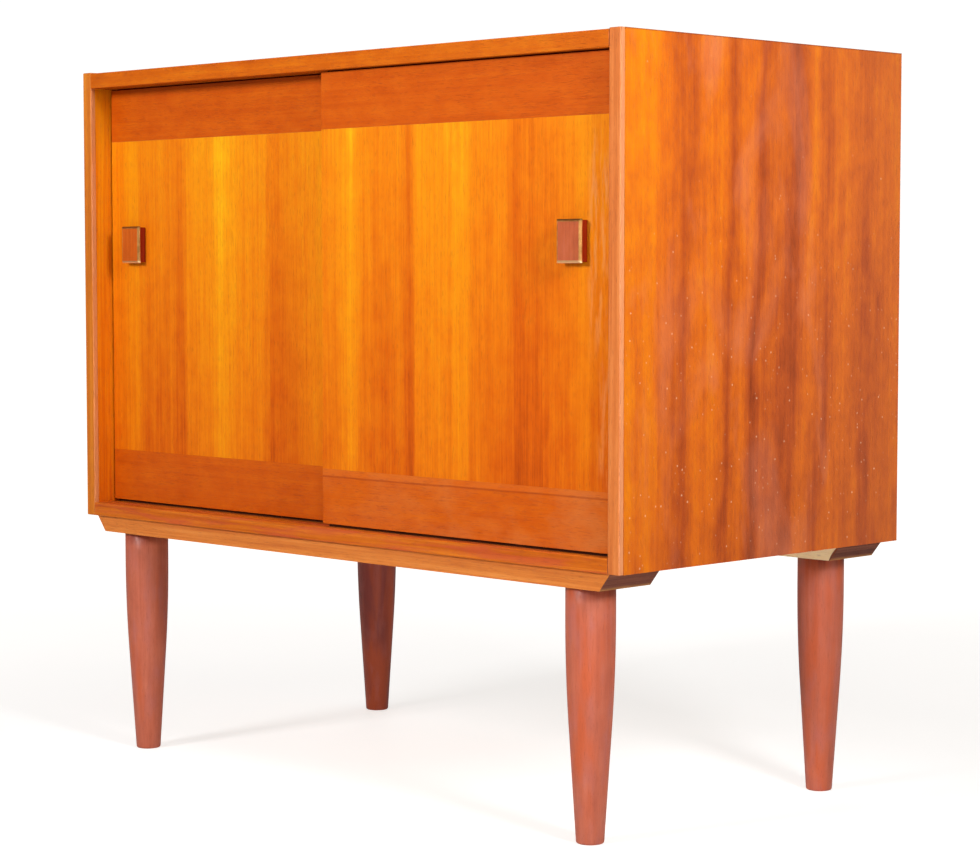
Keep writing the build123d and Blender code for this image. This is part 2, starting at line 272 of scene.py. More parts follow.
def studio_floor():
    made = bmesh.new()
    bmesh.ops.create_grid(made, x_segments=8, y_segments=8, size=FLOOR_HALF)
    mesh = bpy.data.meshes.new("studio_floor")
    made.to_mesh(mesh)
    made.free()
    floor = bpy.data.objects.new("studio_floor", mesh)
    bpy.context.scene.collection.objects.link(floor)
    paper = Finish("white_paper")
    clouds = paper.noise(paper.place, 2.0, detail=3.0)
    colour = paper.ramp(clouds, [(0.3, tone(178, 179, 181)), (0.7, tone(186, 186, 187))])
    mesh.materials.append(paper.done(colour, 0.8))
    away = paper.add("VectorMath", operation="LENGTH")
    paper.feed(away.inputs[0], paper.place)
    glow = paper.between(away.outputs["Value"], *GLOW_GROWS, NEAR_GLOW, FAR_GLOW)
    seen = paper.add("LightPath").outputs["Is Camera Ray"]
    more = paper.times(seen, paper.minus(glow, BOUNCE))
    paper.shader.inputs["Emission Color"].default_value = WARM_SHADE
    paper.feed(paper.shader.inputs["Emission Strength"], paper.plus(more, BOUNCE))


def studio_world():
    world = bpy.data.worlds.new("white_studio")
    world.use_nodes = True
    tree = world.node_tree
    shown = tree.nodes["Background"]
    light = tree.nodes.new("ShaderNodeBackground")
    for background, strength in ((shown, WORLD_SHOWN), (light, WORLD_LIGHT)):
        background.inputs["Color"].default_value = (1.0, 1.0, 1.0, 1.0)
        background.inputs["Strength"].default_value = strength
    path = tree.nodes.new("ShaderNodeLightPath")
    either = tree.nodes.new("ShaderNodeMixShader")
    tree.links.new(path.outputs["Is Camera Ray"], either.inputs["Fac"])
    tree.links.new(light.outputs[0], either.inputs[1])
    tree.links.new(shown.outputs[0], either.inputs[2])
    tree.links.new(either.outputs[0], tree.nodes["World Output"].inputs["Surface"])
    bpy.context.scene.world = world


studio_floor()
studio_world()
bpy.context.scene.view_settings.view_transform = "Standard"
print("floor glow", NEAR_GLOW, "to", FAR_GLOW, "and world light", WORLD_LIGHT)

# %% [markdown]
# ## Lights
# Shadows tell where the softboxes stand. The legs throw one faint shadow straight back, so a box
# stands in front. They throw another to the left, so a second, closer box stands to the right, and
# it also puts the left knob's shadow on the inner face of the left side. A weak one above the
# camera gives the rounded edges between front and side their thin highlight, and one near the floor
# reaches under the carcass to the legs and the bare wood of the rear rail. The last one, behind and
# to the left, is only for the back and the left side.

# %% Softboxes
SOFTBOXES = {
    # name: (place, width, height, watts, spread in degrees, aimed at)
    "front_softbox": ((-0.35, -2.70, 1.50), 0.6, 0.6, 20.0, 100, (0.0, 0.0, 0.90)),
    "right_softbox": ((1.55, -0.42, 1.10), 0.3, 0.4, 6.8, 100, (0.35, 0.0, 0.6)),
    "camera_softbox": ((1.9, -1.9, 1.9), 1.0, 1.0, 1.5, 100, (0.2, 0.0, 0.5)),
    "low_softbox": ((1.45, -1.15, 0.14), 0.5, 0.2, 1.75, 100, (0.3, 0.1, 0.22)),
    "rear_softbox": ((-2.0, 2.0, 0.85), 1.0, 0.8, 0.9, 60, (0.0, 0.1, 0.60)),
}
for name, (place, width, height, watts, spread, target) in SOFTBOXES.items():
    box_light = bpy.data.lights.new(name, "AREA")
    box_light.shape = "RECTANGLE"
    box_light.size = width
    box_light.size_y = height
    box_light.energy = watts
    box_light.spread = math.radians(spread)
    softbox = bpy.data.objects.new(name, box_light)
    softbox.location = place
    softbox.rotation_euler = (Vector(target) - Vector(place)).to_track_quat("-Z", "Y").to_euler()
    bpy.context.scene.collection.objects.link(softbox)
print(len(SOFTBOXES), "softboxes")

# %% [markdown]
# ## How teak is coloured
# Oiled teak has four layers of pattern, from coarse to fine: broad ribbons a finger wide, growth
# lines a few millimetres apart, fibres, and short dark pores. All of them run along the grain, so
# each is a noise squeezed along one axis. Their sum is one number for how light the wood is, and a
# ramp turns that number into a colour. Working with lightness first keeps every shade in the same
# family, from rust through orange to honey.

# %% The layers of a wood
ALONG = {"X": (1, 0, 0), "Y": (0, 1, 0), "Z": (0, 0, 1)}
DRIFT_SCALE = 3.0
GRAIN_RELIEF = 0.25 * MM
PORE_TONE = tone(110, 40, 10)
RUST_TO_HONEY = dark_to_light((150, 50, 3), (196, 84, 5), (215, 112, 7), (224, 136, 9), (230, 166, 14))


def squeezed(finish, along, ratio, source=None):
    """Coordinates in which patterns are drawn out along the grain."""
    scale = [ratio if part else 1.0 for part in ALONG[along]]
    return finish.mapped(scale=scale, source=source)


def wandering(finish, along, amount, source):
    """Coordinates pushed sideways by a slow noise, so that straight grain drifts like real grain."""
    slow = finish.noise(squeezed(finish, along, 0.35, source), DRIFT_SCALE, detail=1.5, colour=True)
    push = finish.vectors("SUBTRACT", slow, (0.5, 0.5, 0.5))
    reach = [0.0 if part else amount for part in ALONG[along]]
    return finish.vectors("ADD", source or finish.place, finish.vectors("MULTIPLY", push, reach))


def wood_layers(finish, along, ribbon=70.0, line=300.0, wander=0.004, source=None):
    """Ribbons, growth lines, fibres, pores and cross figure, each from 0 to 1."""
    at = wandering(finish, along, wander, source)
    lines = finish.noise(squeezed(finish, along, 0.012, at), line, detail=2.0, rough=0.6)
    pores = finish.noise(squeezed(finish, along, 0.05, at), 2200.0, detail=1.0)
    return {
        "ribbons": finish.noise(squeezed(finish, along, 0.03, at), ribbon, detail=3.0, rough=0.55),
        "lines": finish.between(lines, 0.375, 0.625),
        "fibres": finish.noise(squeezed(finish, along, 0.02, at), 1100.0, detail=2.0, rough=0.6),
        "pores": finish.between(pores, 0.60, 0.72),
        "figure": finish.noise(squeezed(finish, along, 0.6, at), 55.0, detail=3.0, rough=0.6),
    }


def weighed(finish, start, layers, weights):
    """A lightness: start, plus each layer's swing about its middle times its weight."""
    total = start
    for layer, weight in weights.items():
        total = finish.plus(total, finish.scaled(layers[layer], weight, -0.5 * weight))
    return total


def oiled(finish, colour, layers, rough=0.40, sheen=0.10):
    """An oiled surface: a soft sheen, rougher in the pores, with the grain just felt in relief."""
    pored = finish.blend(finish.times(layers["pores"], 0.30), colour, PORE_TONE)
    height = finish.scaled(layers["pores"], -1.0, layers["fibres"])
    uneven = finish.scaled(layers["figure"], 0.16, rough - 0.08)
    rougher = finish.scaled(layers["pores"], 0.15, uneven)
    felt = finish.bump(height, GRAIN_RELIEF, 0.6)
    return finish.done(pored, rougher, felt, Specular_IOR_Level=sheen)


print("wood layers ready")

# %% [markdown]
# ## Door veneer
# The middle of each door is laid up from leaves cut one after another from the same block and laid
# side by side, all the same way up. So the same bright and dark ribbons come again in each leaf, a
# leaf's width further on, and the tone jumps at each joint. A ramp of listed stops gives the
# lightness across a door, and a second ramp in plain steps tells which leaf a point lies on, so the
# fine grain jumps at the joints too.

# %% Veneered door middles
LEFT_LEAVES = {
    # place across the door in mm: lightness there. Two places 1 mm apart are a joint.
    "joints": (-252, -114),
    "ribbons": [
        (-384, 0.52), (-366, 0.48), (-350, 0.66), (-340, 0.72), (-331, 0.50), (-290, 0.46),
        (-268, 0.42), (-257, 0.32), (-253, 0.36), (-252, 0.66), (-232, 0.64), (-210, 0.70),
        (-204, 0.90), (-186, 0.96), (-178, 0.76), (-150, 0.64), (-126, 0.60), (-115, 0.42),
        (-114, 0.34), (-103, 0.30), (-88, 0.42), (-72, 0.42), (-62, 0.56), (-36, 0.66), (12, 0.5),
    ],
}
RIGHT_LEAVES = {
    "joints": (125, 260),
    "ribbons": [
        (-12, 0.48), (10, 0.58), (24, 0.74), (32, 0.92), (41, 0.70), (52, 0.52), (80, 0.42),
        (92, 0.44), (106, 0.44), (117, 0.24), (124, 0.24), (125, 0.66), (150, 0.66), (176, 0.68),
        (193, 0.80), (202, 0.56), (232, 0.46), (250, 0.38), (259, 0.34), (260, 0.20), (276, 0.26),
        (300, 0.28), (308, 0.40), (326, 0.42), (347, 0.58), (362, 0.48), (386, 0.42),
    ],
}
# Painted light and shade: the veneer is darker towards a door's foot and lighter towards its top.
LOWER_PAINTED_SHADE = -0.20
UPPER_PAINTED_LIGHT = 0.10
LEAF_APART = 7.0
LAID_DRIFT = 0.010
LEAF_GRAIN = {"ribbons": 0.24, "lines": 0.11, "fibres": 0.24, "figure": 0.34}
RUBBED_TONE = tone(220, 146, 86)


def scuffed(finish, colour, x_span, z_span, strength, shade, along=0.12):
    """Pale rubbed marks inside a rectangle given in mm, thinning out towards its edges."""
    marks = finish.noise(finish.mapped(scale=(1.0, 1.0, along)), 170.0, detail=3.0, rough=0.6)
    mask = finish.between(marks, 0.46, 0.66, 0.0, strength)
    for axis, (low, high) in (("X", x_span), ("Z", z_span)):
        middle = (low + high) / 2 * MM
        half = (high - low) / 2 * MM
        off = finish.sums("ABSOLUTE", finish.minus(finish.part(axis), middle))
        mask = finish.times(mask, finish.between(off, 0.5 * half, half, 1.0, 0.0))
    return finish.blend(mask, colour, shade)


def door_middle(name, node, leaves, scuffs=()):
    finish = Finish(name)
    low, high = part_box(node)

    def share(place_mm):
        return (place_mm * MM - low.x) / (high.x - low.x)

    joints = [(0.0, 0.15)] + [(share(at), 0.45 + 0.3 * n) for n, at in enumerate(leaves["joints"])]
    flat = finish.across("X", low.x, high.x)
    leaf = finish.ramp(flat, joints, steps=True)
    leaf_shift = finish.add("CombineXYZ")
    finish.feed(leaf_shift.inputs["Z"], finish.times(leaf, LEAF_APART))
    own_place = finish.vectors("ADD", finish.place, leaf_shift.outputs[0])
    layers = wood_layers(finish, "Z", ribbon=95.0, line=260.0, wander=0.003, source=own_place)

    drift = finish.noise(squeezed(finish, "Z", 0.3), 14.0, detail=2.0)
    stops = [(min(max(share(at), 0.0), 1.0), light) for at, light in leaves["ribbons"]]
    laid = finish.ramp(finish.swayed(flat, drift, LAID_DRIFT), stops)
    # Painted light and shade: darker low on the door, lighter high up.
    height = finish.across("Z", low.z, high.z, LOWER_PAINTED_SHADE, UPPER_PAINTED_LIGHT)
    start = finish.plus(finish.scaled(laid, 0.66, 0.19), height)
    colour = finish.ramp(weighed(finish, start, layers, LEAF_GRAIN), RUST_TO_HONEY)
    for x_span, z_span, strength in scuffs:
        colour = scuffed(finish, colour, x_span, z_span, strength, RUBBED_TONE)
    return oiled(finish, colour, layers, rough=0.42, sheen=0.07)


left_middle = door_middle("left_door_leaves", "left_door_panel", LEFT_LEAVES)
RIGHT_SCUFFS = [((352, 383), (440, 670), 0.55), ((364, 386), (320, 470), 0.35)]
right_middle = door_middle("right_door_leaves", "right_door_panel", RIGHT_LEAVES, RIGHT_SCUFFS)

# %% [markdown]
# ## Plain teak surfaces
# The bands, strips and boards share one recipe with different numbers: which way the grain runs,
# how light the wood is, how strong each layer is, and the family of shades.

# %% Teak by recipe
PLAIN_GRAIN = {"ribbons": 0.7, "lines": 0.22, "fibres": 0.25, "figure": 0.2}
BAND_GRAIN = {"ribbons": 0.34, "lines": 0.07, "fibres": 0.22, "figure": 0.55}
STRIP_GRAIN = {"ribbons": 0.95, "lines": 0.30, "fibres": 0.25, "figure": 0.30}
MOTTLED_GRAIN = {"ribbons": 0.35, "lines": 0.10, "fibres": 0.18, "figure": 0.60}


def teak(name, along, shades, start=0.5, weights=PLAIN_GRAIN, rough=0.40, sheen=0.10, painted_rise=0.0,
         **layers_as):
    """The argument after sheen paints light and shade: that much lighter at the cabinet's top than at
    its foot.
    """
    finish = Finish(name)
    layers = wood_layers(finish, along, **layers_as)
    if painted_rise:
        foot, head = CAD_BOX[0][2], CAD_BOX[1][2]
        start = finish.across("Z", foot, head, start - painted_rise / 2, start + painted_rise / 2)
    colour = finish.ramp(weighed(finish, start, layers, weights), shades)
    return oiled(finish, colour, layers, rough, sheen)


BAND_SHADES = dark_to_light((146, 44, 2), (186, 77, 4), (208, 102, 10))
PEACH_SHADES = dark_to_light((160, 70, 30), (197, 108, 50), (222, 142, 78))
FRONT_SHADES = dark_to_light((138, 44, 4), (188, 91, 14), (214, 120, 34))
level_band = teak("level_band", "X", BAND_SHADES, start=0.55, weights=BAND_GRAIN, ribbon=110.0)
front_strip_teak = teak("front_strip_teak", "X", FRONT_SHADES, weights=STRIP_GRAIN, ribbon=140.0)
TOP_STRIP_SHADES = dark_to_light((156, 58, 2), (191, 90, 5), (214, 122, 14))
top_strip_teak = teak("top_strip_teak", "X", TOP_STRIP_SHADES, weights=MOTTLED_GRAIN, ribbon=110.0)
STREAK_TONE = tone(184, 74, 42)


def streaked_strip():
    """The lower front strip, with red-brown streaks along its grain."""
    finish = Finish("bottom_strip_teak")
    layers = wood_layers(finish, "X", ribbon=140.0)
    colour = finish.ramp(weighed(finish, 0.55, layers, STRIP_GRAIN), FRONT_SHADES)
    streaks = finish.noise(squeezed(finish, "X", 0.07), 150.0, detail=3.0, warp=0.4)
    colour = finish.blend(finish.between(streaks, 0.46, 0.62, 0.0, 0.65), colour, STREAK_TONE)
    return oiled(finish, colour, layers)


bottom_strip_teak = streaked_strip()
inside_teak = teak("inside_teak", "X", RUST_TO_HONEY, start=0.38, ribbon=60.0)
# The inner faces are painted lighter at the top and darker at the foot: painted light and shade.
inside_side_teak = teak("inside_side_teak", "Z", RUST_TO_HONEY, start=0.42, painted_rise=0.75, ribbon=60.0)
top_teak = teak("top_teak", "X", RUST_TO_HONEY, start=0.42, ribbon=26.0, wander=0.012)
print("plain teak finishes made")

# %% [markdown]
# ## Front edges with a painted highlight
# The solid strips on the front of the sides carry a painted highlight. Their edge towards the right
# is painted pale, in an uneven line, where light catches the rounded arris, and the left strip is a
# little yellower than the right one.

# %% Side strips with a painted highlight
PAINTED_HIGHLIGHT_WIDE = 1.2 * MM
PAINTED_HIGHLIGHT_RAGGED = 2.0 * MM
PAINTED_HIGHLIGHT_TONE = tone(214, 148, 108)
YELLOW_SHADES = dark_to_light((158, 70, 16), (196, 108, 28), (220, 138, 46))


def side_strip(side, shades):
    finish = Finish(f"{side}_strip_teak")
    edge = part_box(f"{side}_side_lipping")[1].x
    layers = wood_layers(finish, "Z", ribbon=160.0)
    colour = finish.ramp(weighed(finish, 0.5, layers, PLAIN_GRAIN), shades)
    patchy = finish.noise(squeezed(finish, "Z", 0.2), 120.0, detail=3.0, rough=0.6)
    ragged = finish.swayed(finish.part("X"), patchy, PAINTED_HIGHLIGHT_RAGGED)
    # The pale line along each strip's right edge is a painted highlight.
    wear_and_highlight = finish.between(ragged, edge - PAINTED_HIGHLIGHT_WIDE, edge, 0.0, 0.5)
    return oiled(finish, finish.blend(wear_and_highlight, colour, PAINTED_HIGHLIGHT_TONE), layers)


left_strip_teak = side_strip("left", YELLOW_SHADES)
right_strip_teak = side_strip("right", PEACH_SHADES)
print("side strips worn over", PAINTED_HIGHLIGHT_WIDE, "m")

# %% [markdown]
# ## The cracked band of the right door
# The lower band of the right door has a second thin dark line just under its top edge, which sinks
# a little towards the left, with a paler sliver of veneer above it. It is a mend, and it is kept.
# The line is where the distance below the band's top equals a drop that wavers along the band, so
# no geometry is cut for a crack that is thinner than a hair.

# %% Mended band
MEND_LEFT_DROP = 7.6 * MM
MEND_RIGHT_DROP = 6.0 * MM
MEND_HALF = 0.9 * MM
MEND_WAVER = 2.0 * MM
CRACK_TONE = tone(130, 40, 8)
SLIVER_TONE = tone(222, 116, 40)
HAZE_TONE = tone(196, 110, 52)
KNOCK_TONE = tone(190, 108, 74)


def mended_band():
    finish = Finish("mended_band")
    low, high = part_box("right_door_bottom_band")
    layers = wood_layers(finish, "X", ribbon=110.0, line=420.0)
    colour = finish.ramp(weighed(finish, 0.58, layers, BAND_GRAIN), BAND_SHADES)
    drop = finish.across("X", low.x, high.x, MEND_LEFT_DROP, MEND_RIGHT_DROP)
    below = finish.minus(high.z, finish.part("Z"))
    waver = finish.noise(squeezed(finish, "X", 0.15), 90.0, detail=3.0)
    drop = finish.swayed(drop, waver, MEND_WAVER)
    off = finish.sums("ABSOLUTE", finish.minus(below, drop))
    crack = finish.between(off, MEND_HALF * 0.3, MEND_HALF * 1.5, 0.45, 0.0)
    sliver = finish.between(finish.minus(drop, below), 0.0, MM, 0.0, 0.18)
    colour = finish.blend(sliver, colour, SLIVER_TONE)
    cloudy = finish.noise(squeezed(finish, "X", 0.5), 28.0, detail=4.0, rough=0.6, warp=0.6)
    rightwards = finish.across("X", low.x, high.x, 0.2, 0.6)
    dull = finish.times(finish.between(cloudy, 0.40, 0.66), rightwards)
    colour = finish.blend(dull, colour, HAZE_TONE)
    colour = finish.blend(crack, colour, CRACK_TONE)
    colour = scuffed(finish, colour, (290, 400), (200, 262), 0.5, KNOCK_TONE, 1.0)
    return oiled(finish, colour, layers)


mended = mended_band()
print("mend runs from", MEND_LEFT_DROP, "to", MEND_RIGHT_DROP, "m below the band's top")

# %% [markdown]
# ## Side veneer
# The sides carry one wide sheet of plain-sawn teak. Its dark streaks wander and lean, it has the
# reddish bloom of an old oiled surface, and a few tiny pale specks. The streaks come from a
# squeezed noise that is pushed about by a slower one, the bloom from a cloudy noise, and the specks
# from small cells of which only a few are lit.
# The sheet also carries painted light: painted shade darkens it towards its foot, and a pale
# painted reflection of the floor lies over the bloom towards the back.

# %% Veneered sides
SIDE_SHADES = [
    (0.0, tone(104, 36, 12)),
    (0.3, tone(160, 68, 22)),
    (0.55, tone(193, 92, 18)),
    (0.8, tone(212, 116, 10)),
    (1.0, tone(226, 140, 18)),
]
RIGHT_STREAKS = [
    # share of the depth from front to back: lightness there
    (0.0, 0.80), (0.10, 0.74), (0.165, 0.50), (0.205, 0.42), (0.24, 0.62), (0.30, 0.66),
    (0.345, 0.36), (0.375, 0.58), (0.415, 0.62), (0.445, 0.26), (0.475, 0.50), (0.53, 0.44),
    (0.57, 0.30), (0.60, 0.40), (0.645, 0.66), (0.705, 0.40), (0.735, 0.62), (0.80, 0.60),
    (0.855, 0.42), (0.895, 0.52), (0.95, 0.64), (1.0, 0.58),
]
SHEET_GRAIN = {"ribbons": 0.22, "lines": 0.08, "fibres": 0.14, "figure": 0.42}
LEAN = 0.16
RIPPLE = 0.03
SMOKE = 0.36
BLOOM_AND_SHEEN_TONE = tone(194, 118, 90)
TOP_RIM = 1.6 * MM
RIM_TONE = tone(104, 44, 18)
SPECKS = 140.0
SPECKS_REACH = 0.32
SPECK_TONE = tone(236, 206, 170)


def side_sheet(name, streaks, seed):
    finish = Finish(name)
    own_place = finish.mapped(shift=(0.0, seed, 0.0))
    low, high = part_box("right_side_panel")
    lean = finish.noise(squeezed(finish, "Z", 0.5, own_place), 4.0, detail=2.0)
    ripple = finish.noise(squeezed(finish, "Z", 0.5, own_place), 16.0, detail=2.0)
    depth = finish.across("Y", low.y, high.y)
    laid = finish.ramp(finish.swayed(finish.swayed(depth, lean, LEAN), ripple, RIPPLE), streaks)
    layers = wood_layers(finish, "Z", ribbon=45.0, line=170.0, wander=0.020, source=own_place)
    # Painted shade: the sheet is darker towards its foot.
    height = finish.across("Z", low.z, high.z, -0.13, -0.02)
    smoky = finish.noise(squeezed(finish, "Z", 0.16, own_place), 34.0, detail=4.0, rough=0.6, warp=0.5)
    start = finish.plus(laid, finish.swayed(height, smoky, SMOKE))
    colour = finish.ramp(weighed(finish, start, layers, SHEET_GRAIN), SIDE_SHADES)

    haze = finish.noise(squeezed(finish, "Z", 0.4, own_place), 11.0, detail=4.0, rough=0.6, warp=0.8)
    lower = finish.across("Z", low.z, high.z, 0.34, 0.36)
    bloom = finish.times(finish.between(haze, 0.50, 0.72), lower)
    # Towards the back, a pale painted reflection of the white floor is laid over the real bloom.
    bloom_and_painted_sheen = finish.sums("MAXIMUM", bloom, finish.between(depth, 0.35, 1.0, 0.0, 0.14))
    colour = finish.blend(bloom_and_painted_sheen, colour, BLOOM_AND_SHEEN_TONE)

    dots = finish.between(finish.cells(own_place, SPECKS), 0.06, 0.18, 1.0, 0.0)
    rarer = finish.across("Z", low.z, low.z + SPECKS_REACH, 0.66, 0.985)
    draws = finish.cells(own_place, SPECKS, "Color")
    chosen = finish.sums("GREATER_THAN", finish.part("X", draws), rarer)
    fainter = finish.across("Z", low.z, high.z, 0.46, 0.20)
    fainter = finish.times(fainter, finish.between(finish.part("Y", draws), 0.2, 0.9, 0.25, 1.0))
    speck = finish.times(finish.times(dots, chosen), fainter)
    colour = finish.blend(speck, colour, SPECK_TONE)
    rim = finish.across("Z", high.z - TOP_RIM, high.z - 0.3 * TOP_RIM, 0.0, 0.55)
    colour = finish.blend(rim, colour, RIM_TONE)
    return oiled(finish, colour, layers, rough=0.36, sheen=0.12)


right_side_sheet = side_sheet("right_side_sheet", RIGHT_STREAKS, 0.0)
LEFT_STREAKS = [(1.0 - place, light) for place, light in RIGHT_STREAKS]
left_side_sheet = side_sheet("left_side_sheet", LEFT_STREAKS, 2.7)
print(len(RIGHT_STREAKS), "tones across a side")

# %% [markdown]
# ## Edges that show how a board is built
# The boards are chipboard between two sheets of veneer. Where an edge is left bare, at the back and
# underneath, the layers show. The layers are a ramp in plain steps across the board's thickness.

# %% Bare board edges
CORE_SHADES = [
    (0.0, tone(168, 116, 74)),
    (0.45, tone(208, 156, 108)),
    (0.6, tone(222, 176, 128)),
    (1.0, tone(238, 200, 156)),
]
VENEER_THICK = 0.7 * MM
VENEER_TONE = tone(170, 84, 36)
ROUGH_RELIEF = 0.2 * MM


def bare_edge(name, node, axis):
    """Chips between two veneer lines. axis is the direction through the board."""
    finish = Finish(name)
    low, high = (corner["XYZ".index(axis)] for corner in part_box(node))
    chips = finish.noise(finish.mapped(scale=(1.0, 1.0, 0.6)), 620.0, detail=3.0, rough=0.7, warp=0.6)
    core = finish.ramp(finish.between(chips, 0.3, 0.7), CORE_SHADES)
    thin = VENEER_THICK / (high - low)
    stops = [(0.0, 1.0), (thin, 0.0), (1.0 - thin, 1.0)]
    skin = finish.ramp(finish.across(axis, low, high), stops, steps=True)
    colour = finish.blend(skin, core, VENEER_TONE)
    return finish.done(colour, 0.75, finish.bump(chips, ROUGH_RELIEF, 0.4))


right_side_edge = bare_edge("right_side_edge", "right_side_panel", "X")
left_side_edge = bare_edge("left_side_edge", "left_side_panel", "X")
top_edge = bare_edge("top_board_edge", "top_panel", "Z")
floor_edge = bare_edge("floor_board_edge", "bottom_panel", "Z")
shelf_edge = bare_edge("shelf_edge", "shelf", "Z")

EDGE_BAND_SHADES = dark_to_light((124, 54, 28), (164, 84, 48), (194, 114, 72))
top_end_band = teak("top_end_band", "Y", EDGE_BAND_SHADES, ribbon=160.0)
print("core between two veneers of", VENEER_THICK, "m")

# %% [markdown]
# ## End grain
# Where solid teak is cut across, the cut ends of the fibres soak up more oil, so the surface is
# darker and duller, with the growth rings as faint arcs.

# %% Cut ends
def cut_end(name, shades):
    finish = Finish(name)
    rings = finish.noise(finish.mapped(scale=(1.0, 0.5, 0.5)), 260.0, detail=2.0, warp=1.2)
    pores = finish.cells(finish.place, 1500.0)
    holes = finish.between(pores, 0.0, 0.4, -0.25, 0.1)
    colour = finish.ramp(finish.plus(finish.between(rings, 0.3, 0.7), holes), shades)
    return finish.done(colour, 0.6, finish.bump(pores, ROUGH_RELIEF, 0.5))


strip_end = cut_end("strip_end", EDGE_BAND_SHADES)
STAIN_SHADES = dark_to_light((84, 42, 30), (128, 72, 52), (166, 100, 70))
print("cut ends made")

# %% [markdown]
# ## Foot rails
# Each rail shows an orange, oiled front. Its bevelled ends are stained dark, and the stain runs a
# little way round onto the inner face, which is otherwise raw wood, and ends there in a curve. The
# curve is a limit on the distance along the rail that follows the bevel and bows in halfway up it.

# %% Rail finishes
RAIL_FRONT_SHADES = dark_to_light((166, 72, 28), (206, 118, 50), (230, 152, 78))
RAW_SHADES = dark_to_light((240, 212, 150), (253, 236, 186), (255, 246, 208))
rail_front = teak("rail_front", "X", RAIL_FRONT_SHADES, ribbon=120.0)
RAIL_BEVEL = 13.5 * MM
STAIN_BOW = 7.0 * MM
STAIN_RAGGED = 2.0 * MM
STAIN_BLUR = 0.3 * MM
BEVEL_WORN = (1.5 * MM, 4.0 * MM)
BEVEL_WORN_TONE = tone(190, 130, 70)


def rail_raw():
    finish = Finish("rail_raw")
    low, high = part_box("rear_foot_rail")
    layers = wood_layers(finish, "X", ribbon=120.0, line=300.0)
    weights = {"ribbons": 0.7, "lines": 0.3, "fibres": 0.3, "figure": 0.2}
    raw = finish.ramp(weighed(finish, 0.5, layers, weights), RAW_SHADES)
    stained = finish.ramp(weighed(finish, 0.5, layers, weights), STAIN_SHADES)
    height = finish.across("Z", low.z, high.z)
    bevel_x = finish.scaled(height, RAIL_BEVEL, high.x - RAIL_BEVEL)
    bow = finish.times(finish.times(height, finish.minus(1.0, height)), STAIN_BOW)
    patchy = finish.noise(finish.place, 90.0, detail=2.0)
    edge = finish.scaled(patchy, -STAIN_RAGGED, finish.minus(bevel_x, bow))
    past = finish.minus(finish.sums("ABSOLUTE", finish.part("X")), edge)
    stain = finish.between(past, -STAIN_BLUR, STAIN_BLUR)
    return oiled(finish, finish.blend(stain, raw, stained), layers, rough=0.62)


def rail_end():
    """Dark stain, rubbed through to yellowish wood along the lower edge of the bevel."""
    finish = Finish("rail_end")
    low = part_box("rear_foot_rail")[0]
    layers = wood_layers(finish, "Y", ribbon=200.0, line=500.0)
    weights = {"ribbons": 0.8, "lines": 0.4, "fibres": 0.3, "figure": 0.3}
    stained = finish.ramp(weighed(finish, 0.42, layers, weights), STAIN_SHADES)
    ragged = finish.scaled(layers["figure"], 2.0 * MM, finish.part("Z"))
    wear_and_highlight = finish.between(ragged, low.z + BEVEL_WORN[0], low.z + BEVEL_WORN[1], 0.8, 0.0)
    return oiled(finish, finish.blend(wear_and_highlight, stained, BEVEL_WORN_TONE), layers, rough=0.5)


rail_raw_face = rail_raw()
rail_end_face = rail_end()
print("rail finishes made")

# %% [markdown]
# ## Legs, knobs and metal
# The legs are turned from solid teak and stained red-brown, with painted shade at their tops under
# the rail. The knobs are pale satin brass round a teak plate, on a dark block. A slow noise on the
# roughness and the colour makes the brass patchy, and painted reflections lie along the top and
# bottom bevels of the knob brass.

# %% Leg, knob and metal finishes
LEG_SHADES = dark_to_light((130, 48, 32), (180, 92, 66), (206, 122, 96))
# A darker copy of the leg shades for the rear-left leg: painted shade, for the carcass's shadow.
SHADED_LEG_SHADES = dark_to_light((106, 34, 26), (146, 66, 54), (170, 90, 76))
KNOB_PLATE_SHADES = dark_to_light((126, 48, 20), (172, 80, 40), (194, 108, 78))
LEG_GRAIN = {"ribbons": 0.34, "lines": 0.10, "fibres": 0.16, "figure": 0.34}
PAINTED_SHADE_BELOW_RAIL = 14.0 * MM
WIPED_TONE = tone(190, 82, 36)
GREYED_TONE = tone(170, 96, 88)


def stained_leg(name, shades):
    """Red-brown stain, with painted shade close under the rail, where the rail shades the leg's top.
    """
    finish = Finish(name)
    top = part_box("front_left_leg")[1].z
    layers = wood_layers(finish, "Z", ribbon=70.0)
    shade_under_rail = finish.across("Z", top - PAINTED_SHADE_BELOW_RAIL, top, 0.5, -0.10)
    colour = finish.ramp(weighed(finish, shade_under_rail, layers, LEG_GRAIN), shades)
    wiped = finish.noise(squeezed(finish, "Z", 0.12), 60.0, detail=2.0, warp=0.4)
    colour = finish.blend(finish.between(wiped, 0.48, 0.66, 0.0, 0.7), colour, WIPED_TONE)
    elsewhere = finish.mapped(shift=(0.7, 0.2, 0.4))
    greyed = finish.noise(squeezed(finish, "Z", 0.3, elsewhere), 90.0, detail=3.0)
    colour = finish.blend(finish.between(greyed, 0.50, 0.70, 0.0, 0.45), colour, GREYED_TONE)
    return oiled(finish, colour, layers, rough=0.42, sheen=0.35)


